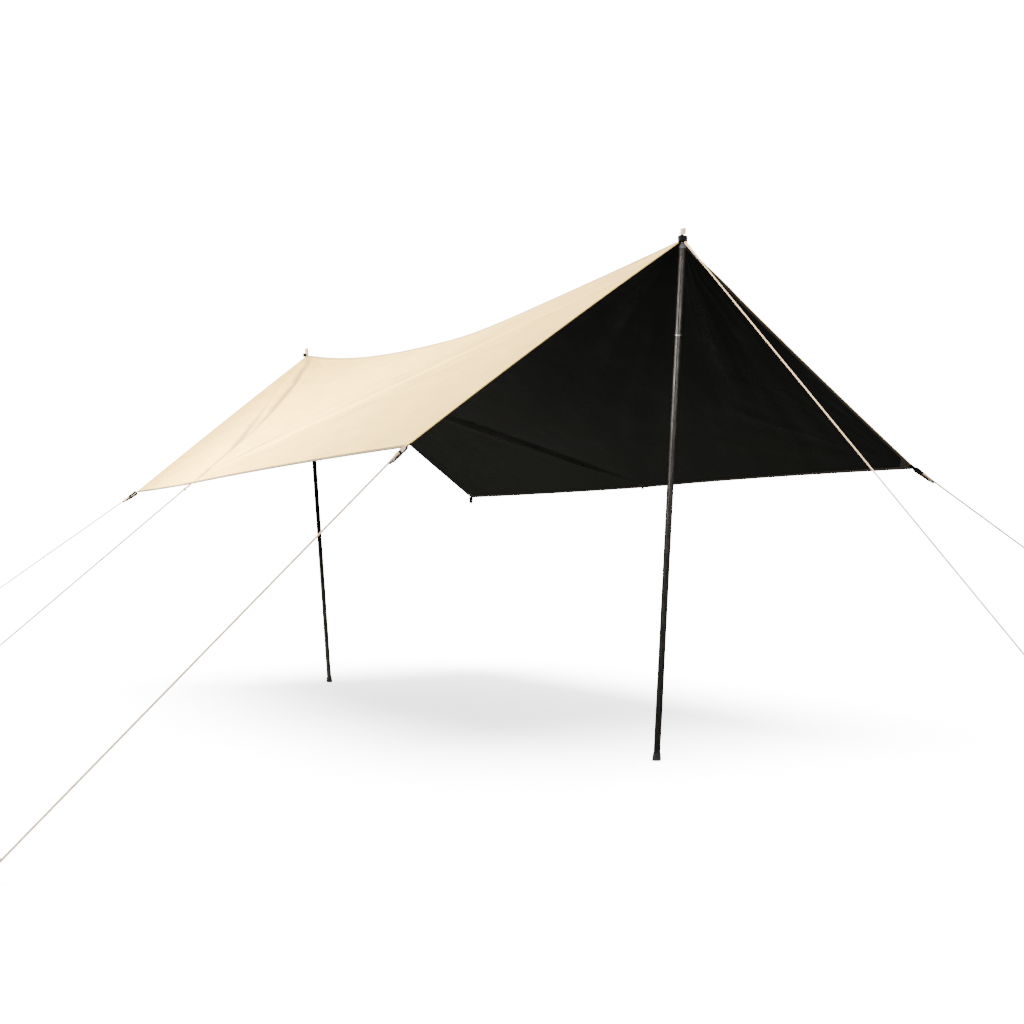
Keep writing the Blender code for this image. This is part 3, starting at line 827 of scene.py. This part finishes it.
def tie_directions(where, side):
    """The tie's place with the way of the pull, the way across the webbing and the way up from it."""
    corner = CORNERS[side, where]
    if (where, side) in PEG_TOPS:
        place = corner - UP * TIE_BELOW
        pull = (PEG_TOPS[where, side] - place).normalized()
        down = corner - ridge_at({"front": -1.0, "middle": 0.0, "rear": 1.0}[where])
        normal = down.cross(Vector((0.0, 1.0, 0.0))).normalized()
        across = (-normal if normal.z < 0 else normal).cross(pull).normalized()
        return place, pull, across, pull.cross(across)
    turn = math.radians(LIMP_TURNS[where])
    across = Vector((math.sin(turn), math.cos(turn), 0.0))
    inward = cloth_at(side, 0.9 if where == "rear" else 0.0, 0.9) - corner
    place = corner + inward.normalized() * LIMP_INWARD - UP * LIMP_BELOW
    return place, -UP, across, across.cross(UP)


def turned_at(where, side, out, across, over):
    """The ways across and up from the webbing at a distance out from the corner."""
    share = max(0.0, min(1.0, out / TURNED_WITHIN))
    turn = math.radians(LOOP_TURNS.get((where, side), 0.0)) * share * share * (3 - 2 * share)
    return across * math.cos(turn) + over * math.sin(turn), over * math.cos(turn) - across * math.sin(turn)


def soften(piece, width, segments):
    """Rounds off a piece's edges."""
    edge = piece.modifiers.new("soft_edges", "BEVEL")
    edge.width = width
    edge.segments = segments
    edge.limit_method = "ANGLE"


def webbing_loop(where, side):
    """A flat strap folded back on itself round an eye, with its tail under the cloth."""
    place, pull, across, over = tie_directions(where, side)
    width, length, eye = LOOP_SIZES[where, side]
    half = WEBBING_THICKNESS * 0.55
    round_eye = eye + WEBBING_THICKNESS / 2
    neck = math.asin(half / round_eye)
    tail = -WEBBING_TAIL if (where, side) in PEG_TOPS and where != "middle" else 0.0
    leg = [tail + (length - round_eye - tail) * step / 12 for step in range(13)]
    path = [(out, -half) for out in leg]
    for step in range(17):
        angle = -math.pi + neck + (2 * math.pi - 2 * neck) * step / 16
        path.append((length + round_eye * math.cos(angle), round_eye * math.sin(angle)))
    path += [(out, half) for out in reversed(leg)]
    run = lengths_along(path)
    rows = 6

    def place_of(column, row):
        out, above = path[column]
        aside = (row / rows - 0.5) * width * (1 - 0.2 * max(0.0, out) / length)
        wide, high = turned_at(where, side, out, across, over)
        return place + pull * out + high * above + wide * aside, (run[column], aside)
    strap = strip_grid(f"webbing_loop_{where}_{side}", len(path) - 1, rows, place_of, "strap")
    thicken(strap, WEBBING_THICKNESS)
    soften(strap, 0.0004, 2)
    return close_up(strap)


def cloth_tongue(where, side):
    """The end of the cloth's corner, cut narrow and sewn along the top of the webbing."""
    place, pull, across, over = tie_directions(where, side)
    length = LOOP_SIZES[where, side][1] - TONGUE_SHORTER
    width, off = TONGUES[where, side]
    columns, rows = 16, 4

    def place_of(column, row):
        out = TONGUE_START + (length - TONGUE_START) * column / columns
        narrow = min(1.0, 0.55 + 0.45 * max(0.0, out) / 0.012)
        aside = off + (row / rows - 0.5) * width * narrow
        wide, high = turned_at(where, side, out, across, over)
        flat = (-SLOPE + 0.03 + aside, -HALF_LENGTH + 0.03 + out)
        return place + pull * out + high * (0.0034 if out < 0 else 0.0028) + wide * aside, flat
    tongue = strip_grid(f"corner_tongue_{where}_{side}", columns, rows, place_of, "cloth")
    thicken(tongue, TONGUE_THICKNESS)
    return close_up(tongue)


def tongue_finish():
    """The cut end of the cloth, paler and greyer than the sheet where its coating shows through."""
    material, shader = new_finish("tongue_cloth", 0.85, 0.15)
    worn = between(grain(own_place(shader), 300.0, 4.0), 0.3, 0.7)
    paint(shader, tint(worn, (0.48, 0.37, 0.25), (0.68, 0.54, 0.36)))
    relief(shader, grain(own_place(shader), 1200.0), 0.0003, 0.5)
    return material


def webbing_finish():
    """Black webbing: close fibres that catch little light, with some paler lint."""
    material, shader = new_finish("black_webbing", specular=0.08)
    place = own_place(shader)
    fibres = grain(place, 1400.0)
    lint = grain(place, 260.0, 3.0)
    colour = tint(fibres, (0.003, 0.003, 0.0028), (0.010, 0.0098, 0.0090))
    colour = tint(between(lint, 0.64, 0.80), colour, (0.035, 0.032, 0.028))
    paint(shader, colour, lint, 0.62, 0.85)
    relief(shader, fibres, 0.0006, 0.8)
    return material


webbing = webbing_finish()
for side in ("left", "right"):
    for where in ("front", "middle", "rear"):
        fit(webbing_loop(where, side), webbing, "webbing", f"webbing_{where}_{side}")
tongue_cloth = tongue_finish()
for where, side in TONGUES:
    fit(cloth_tongue(where, side), tongue_cloth, "canopy_cloth")


# Peak straps. At each peak a short length of the same webbing is folded on itself over the spike
# and sewn into a block, which rests on the plug and carries the end of the ridge.

FRONT_AXIS = Vector((0.0, -0.255, 2.395)).normalized()
REAR_AXIS = Vector((0.0, 0.415, 2.395)).normalized()
POLE_LINES = (("front", Vector((0.0, 0.0, 0.0)), FRONT_AXIS), ("rear", Vector((0.0, 4.23, 0.0)), REAR_AXIS))
# How far each block lies off the pole, its width and depth, and the heights of its two faces.
PEAK_BLOCKS = {"front": (0.0, 0.043, 0.028, 2.3905, 2.4225), "rear": (-0.011, 0.038, 0.020, 2.3905, 2.4180)}
BLOCK_ROUNDING = 0.26


def peak_block(pole, foot, axis):
    """The block of folded strap over the spike."""
    off, width, depth, low, high = PEAK_BLOCKS[pole]
    centre = foot + axis * ((low + high) / 2 / axis.z) + Vector((off, 0.0, 0.0))
    bpy.ops.mesh.primitive_cube_add(size=1.0, location=centre)
    block = bpy.context.object
    block.name = block.data.name = "peak_block_" + pole
    block.scale = (width, depth, high - low)
    bpy.ops.object.transform_apply()
    soften(block, min(depth, high - low) * BLOCK_ROUNDING, 5)
    return close_up(block)


for pole, foot, axis in POLE_LINES:
    fit(peak_block(pole, foot, axis), webbing, "webbing", "peak_strap_" + pole)


# Guy lines. Braided cream cord, tied or doubled back at the tarp and looped round a steel peg.
# Near three of the corners the loop's loose strand is in a dark sleeve and the taut one is whipped.
# The left middle line is knotted at its loop, and it and the peak's have their runner by the peg.

CORD_RADIUS = 0.0042
# Half the distance between the strands along the line, and where they leave the webbing.
STRANDS_APART = 0.0042
LEAVES_APART = 0.0050
CORD_CREAM = (0.66, 0.475, 0.285)
CORD_PAINTED_GROOVE_SHADE = (0.42, 0.295, 0.165)


def cord_finish():
    """Cream braid: two sets of strands crossing, with shade painted into the grooves between them, soiled
    grey-brown here and there.
    """
    material, shader = new_finish("cream_braid", 0.8, 0.2)
    along, around = split(flat_place(shader, "cord"))[:2]
    heights = []
    for lean in (8.0, -8.0):
        slant = figure("MULTIPLY_ADD", along, 420.0, figure("MULTIPLY", around, lean))
        heights.append(figure("PINGPONG", slant, 0.5))
    strands = figure("MAXIMUM", *heights)
    # The grooves between the strands get painted shade.
    colour = tint(between(strands, 0.15, 0.45), CORD_PAINTED_GROOVE_SHADE, CORD_CREAM)
    soil = between(grain(own_place(shader), 160.0, 3.0), 0.50, 0.75, 0.0, 0.35)
    paint(shader, tint(soil, colour, (0.20, 0.15, 0.09)))
    relief(shader, strands, 0.0006, 0.8)
    return material


def bend(centre, first, second, radius, start, end, steps):
    """Points round an arc between two directions, in degrees."""
    points = []
    for step in range(steps + 1):
        angle = math.radians(start + (end - start) * step / steps)
        points.append(centre + first * (radius * math.cos(angle)) + second * (radius * math.sin(angle)))
    return points


PEG_BEND = 0.0068
# The length of a short tail behind the peg, and how far its end lies off the line's middle.
TAIL_LENGTH = 0.070
TAIL_ASIDE = 0.0031
RUNNER_FROM_PEG = 0.250
RUNNER_LENGTH = 0.016
# How far past the runner the strands take to come together.
STRANDS_MEET = 0.024


def peg_end(pull, loop, with_runner):
    """Round the peg and back, to a short tail or into the runner that the taut strand goes through."""
    across = UP.cross(pull).normalized()
    aside = across * STRANDS_APART
    turn = bend(loop, across, pull, PEG_BEND, 0, 180, 12)
    if not with_runner:
        back = loop - pull * TAIL_LENGTH
        return [back + aside, *turn, back - across * TAIL_ASIDE]
    face = loop - pull * (RUNNER_FROM_PEG - 0.0003)
    inside = face + pull * (RUNNER_LENGTH / 2)
    return [face - pull * STRANDS_MEET + aside, inside + aside, *turn, inside - aside, face - aside]


def leaving(where, side):
    """The tie's place and pull, the way across its turned loop, and how far out the loop ends."""
    place, pull, across, over = tie_directions(where, side)
    length, eye = LOOP_SIZES[where, side][1:]
    return place, pull, turned_at(where, side, length, across, over)[0], length + eye


# How far out from the tie the loose strand of a corner's line ends, and that of the middle line.
CORNER_CLOSES = 0.103
MIDDLE_CLOSES = 0.045
# The line's turn through the webbing, and how far its middle lies inside the eye's end.
EYE_BEND = 0.004
EYE_SLACK = 0.0037


def tie_line(where, side):
    """A line from a tie: loose strand, turn through the webbing, taut strand to the peg."""
    place, pull, across, out = leaving(where, side)
    middle = where == "middle"
    closes = MIDDLE_CLOSES if middle else CORNER_CLOSES
    bends = closes - RUNNER_LENGTH / 2

    def strand_at(distance, aside):
        return place + pull * distance + across * aside
    in_eye = out - CORD_RADIUS + EYE_SLACK
    points = [strand_at(closes, STRANDS_APART), strand_at(bends, STRANDS_APART)]
    points += bend(strand_at(in_eye, LEAVES_APART), across, -pull, EYE_BEND, 0, 90, 6)
    points += bend(strand_at(in_eye, -LEAVES_APART), -across, -pull, EYE_BEND, 90, 0, 6)
    points += [strand_at(bends, -STRANDS_APART), strand_at(closes + STRANDS_MEET, -STRANDS_APART)]
    points += peg_end(pull, PEG_TOPS[where, side], middle)
    return cord_tube(f"cord_{where}_{side}", points, CORD_RADIUS)


def strand_cover(name, where, side, stop, aside, radii):
    """A tube over one of the two strands, from the loop to a distance out from the tie."""
    place, pull, across, start = leaving(where, side)
    last = len(radii) - 1
    points = [place + pull * (start + (stop - start) * step / last) + across * aside
              for step in range(last + 1)]
    return cord_tube(f"{name}_{where}_{side}", points, radii, 12)


def overhand_knot(name, centre, pull, across, size):
    """A small overhand knot drawn down round the line."""
    over = pull.cross(across)
    points = []
    for step in range(61):
        angle = 2 * math.pi * (step / 60 * 0.94 + 0.03)
        x = math.sin(angle) + 2 * math.sin(2 * angle)
        y = math.cos(angle) - 2 * math.cos(2 * angle)
        z = -math.sin(3 * angle)
        points.append(centre + across * (x * size) + pull * (y * size) + over * (z * size * 1.5))
    return cord_tube(name, points, CORD_RADIUS)


braid = cord_finish()
guy_lines = {}
for where, side in (("front", "left"), ("front", "right"), ("middle", "left"), ("rear", "left")):
    guy_lines[f"guy_line_{where}_{side}"] = tie_line(where, side)

# The sleeve stands a little off the loose strand. The whipping on the doubled cord thins outward.
SLEEVE_STOP = CORNER_CLOSES - 0.004
SLEEVE_RADII = [CORD_RADIUS + 0.0006] * 9
SPLICE_STOP = CORNER_CLOSES + 0.030
SPLICE_RADII = [0.0064 - 0.0021 * step / 10 for step in range(11)]
for where, side in LOOP_TURNS:
    sleeve = strand_cover("loose_sleeve", where, side, SLEEVE_STOP, LEAVES_APART + 0.0010, SLEEVE_RADII)
    fit(sleeve, webbing, "webbing")
    fit(strand_cover("splice", where, side, SPLICE_STOP, -STRANDS_APART, SPLICE_RADII), braid, "guy_rope")

# The line from the front peak is doubled where it leaves the strap's block, and whipped thinner.
PEAK_LINE_HEIGHT = 2.3945
PEAK_LINE_OFF = Vector((0.0080, -0.0060, 0.0))
peak_loop = PEG_TOPS["front", "peak"]
peak_start = FRONT_AXIS * (PEAK_LINE_HEIGHT / FRONT_AXIS.z) + PEAK_LINE_OFF
peak_pull = (peak_loop - peak_start).normalized()
peak_points = [peak_start + peak_pull * (0.02 * step) for step in range(11)]
peak_points += peg_end(peak_pull, peak_loop, True)
peak_radii = [max(0.0031, 0.0064 - 0.00033 * step) for step in range(len(peak_points))]
guy_lines["guy_line_front_peak"] = cord_tube("cord_front_peak", peak_points, peak_radii)
for node, line in guy_lines.items():
    fit(line, braid, "guy_rope", node)

KNOT_OUT = 0.047
KNOT_SIZE = 0.0022
place, pull, across, over = tie_directions("middle", "left")
fit(overhand_knot("knot_middle_left", place + pull * KNOT_OUT, pull, across, KNOT_SIZE), braid, "guy_rope")


# Rope turns. A few turns of the same cord are wound on each spike above the strap, which keeps
# the strap from riding up the spike.

TURNS_START = {"front": 2.4269, "rear": 2.4010}
TURNS_STOP = 2.4535
TURNS_PITCH = 0.0070
TURNS_RADIUS = 0.0098
TURNS_CORD = 0.0040
STEPS_A_TURN = 16


def spike_turns(pole, foot, axis):
    """Cord wound up the spike from the strap."""
    side_way = axis.orthogonal().normalized()
    other_way = axis.cross(side_way)
    start, points = TURNS_START[pole], []
    steps = round((TURNS_STOP - start) / TURNS_PITCH) * STEPS_A_TURN
    for step in range(steps + 1):
        angle = 2 * math.pi * step / STEPS_A_TURN
        centre = foot + axis * ((start + (TURNS_STOP - start) * step / steps) / axis.z)
        points.append(centre + side_way * (TURNS_RADIUS * math.cos(angle))
                      + other_way * (TURNS_RADIUS * math.sin(angle)))
    return cord_tube("rope_turns_" + pole, points, TURNS_CORD)


rope_turns = [spike_turns(pole, foot, axis) for pole, foot, axis in POLE_LINES]
for turns in rope_turns:
    fit(turns, braid, "guy_rope")


# Runners and pegs. The runner is a small moulded block with a hole for the taut strand; the peg
# is bent from drawn steel wire, and only its hook and neck stand out of the ground.

def runner_plastic():
    """Dark grey nylon, slightly scuffed."""
    material, shader = new_finish("runner_plastic")
    scuff = grain(own_place(shader), 420.0, 4.0)
    paint(shader, tint(scuff, (0.018, 0.018, 0.018), (0.060, 0.057, 0.053)), scuff, 0.36, 0.60)
    relief(shader, scuff, 0.0003, 0.5)
    return material


def peg_wire():
    """Drawn steel, dulled and paler in patches."""
    material, shader = new_finish("peg_wire", metallic=1.0)
    lines = grain(own_place(shader), 350.0, 3.0)
    paint(shader, tint(lines, (0.30, 0.29, 0.28), (0.55, 0.55, 0.56)), lines, 0.28, 0.50)
    relief(shader, lines, 0.0002, 0.5)
    return material


nylon, wire = runner_plastic(), peg_wire()
for where, side in PEG_TOPS:
    dress(f"runner_{where}_{side}", nylon)
    dress(f"peg_{where}_{side}", wire)


# Floor, light and camera. A pale floor without an edge before a white backdrop, a bright soft
# room and a key light from the left, as in a studio; the camera stands low in front.

def stage_finish(name, grey, glow):
    """A plain matt stage finish that also glows evenly."""
    material, shader = new_finish(name, 0.95, 0.0)
    feed((grey, grey, grey, 1.0), shader.inputs["Base Color"])
    feed((1.0, 1.0, 1.0, 1.0), shader.inputs["Emission Color"])
    feed(glow, shader.inputs["Emission Strength"])
    return material


FLOOR_GREY = 0.95
FLOOR_SIZE = 160.0
BACKDROP_RADIUS = 75.0
bpy.ops.mesh.primitive_grid_add(x_subdivisions=8, y_subdivisions=8, size=FLOOR_SIZE,
                                location=(0.0, 0.0, -0.0005))
floor = bpy.context.object
floor.name = "studio_floor"
bpy.ops.object.transform_apply()
floor.data.materials.append(stage_finish("pale_floor", FLOOR_GREY, 2.0))
bpy.ops.mesh.primitive_uv_sphere_add(segments=48, ring_count=24, radius=BACKDROP_RADIUS)
backdrop = bpy.context.object
backdrop.name = "studio_backdrop"
backdrop.data.materials.append(stage_finish("white_backdrop", 0.0, 17.0))
for part in (floor, backdrop):
    part.visible_diffuse = False
    part.visible_glossy = False
backdrop.visible_shadow = False
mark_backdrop(floor, backdrop)

room = bpy.data.worlds.new("bright_room")
bpy.context.scene.world = room
room.use_nodes = True
room_light = room.node_tree.nodes["Background"]
height = split(add_node(room_light, "TexCoord").outputs["Generated"])[2]
walls = between(height, -0.05, 0.16, 0.22, 1.3)
ceiling = between(height, 0.10, 0.70, 0.0, 2.7)
feed((1.0, 1.0, 1.0, 1.0), room_light.inputs["Color"])
feed(figure("ADD", walls, ceiling), room_light.inputs["Strength"])


def add_lamp(name, kind, place, aim, lit, energy, **settings):
    """A lamp that lights only the things named, as flags do in a studio."""
    lamp = bpy.data.lights.new(name, kind)
    lamp.energy = energy
    for setting, value in settings.items():
        setattr(lamp, setting, value)
    holder = bpy.data.objects.new(name, lamp)
    bpy.context.scene.collection.objects.link(holder)
    holder.location = place
    holder.rotation_euler = (Vector(aim) - holder.location).to_track_quat("-Z", "Y").to_euler()
    reached = bpy.data.collections.new(name + "_lights")
    for thing in lit:
        reached.objects.link(thing)
    holder.light_linking.receiver_collection = reached
    holder.visible_camera = False


BOUNCE_TINT = (1.0, 0.98, 0.84)
add_lamp("soft_box", "AREA", (-2.7, 2.9, 3.2), (-0.8, 2.2, 1.8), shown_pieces(), 66.0 * math.pi * math.pi,
         shape="DISK", size=1.8, color=(1.0, 0.90, 0.66))
add_lamp("floor_bounce", "AREA", (-0.7, 4.6, 0.2), (1.2, 4.2, 1.4), [canopy], 46.0,
         shape="RECTANGLE", size=1.2, size_y=1.2, color=BOUNCE_TINT)
add_lamp("edge_bounce", "AREA", (1.1, 2.2, 0.75), (1.35, 2.2, 1.37), [canopy], 5.0,
         shape="RECTANGLE", size=4.6, size_y=0.6, color=BOUNCE_TINT)
front_pole = [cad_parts[part + "front"] for part in pole_finishes]
front_pole += [*rope_turns, guy_lines["guy_line_front_peak"]]
for side, place, energy in (("left", (-2.5, -0.6, 1.9), 36.0), ("right", (0.1, -2.7, 1.9), 14.0)):
    add_lamp(side + "_strip", "AREA", place, (0.0, -0.2, 1.8), front_pole, energy,
             size=0.5, spread=math.radians(75))
add_lamp("overhead", "SUN", (-1.2, -0.9, 4.0), (0.0, 0.0, 0.0), [floor], 13.5 / FLOOR_GREY * math.pi,
         angle=math.radians(58))

CAMERA_PLACE = Vector((-3.86981, -5.82433, 1.09058))
YAW, PITCH, ROLL = 0.49107, 0.01148, -0.00868
lens = bpy.data.cameras.new("camera")
lens.sensor_width = 36.0
lens.lens = 52.083
lens.shift_x = -0.36755 / 1024
lens.shift_y = 0.19102 / 1024
camera = bpy.data.objects.new("camera", lens)
bpy.context.scene.collection.objects.link(camera)
ahead = Vector((math.sin(YAW) * math.cos(PITCH), math.cos(YAW) * math.cos(PITCH), math.sin(PITCH)))
rightward = Vector((math.cos(YAW), -math.sin(YAW), 0.0))
upward = rightward.cross(ahead)
turned_right = rightward * math.cos(ROLL) + upward * math.sin(ROLL)
turned_up = -rightward * math.sin(ROLL) + upward * math.cos(ROLL)
camera.matrix_world = (Matrix.Translation(CAMERA_PLACE)
                       @ Matrix((turned_right, turned_up, -ahead)).transposed().to_4x4())
bpy.context.scene.camera = camera
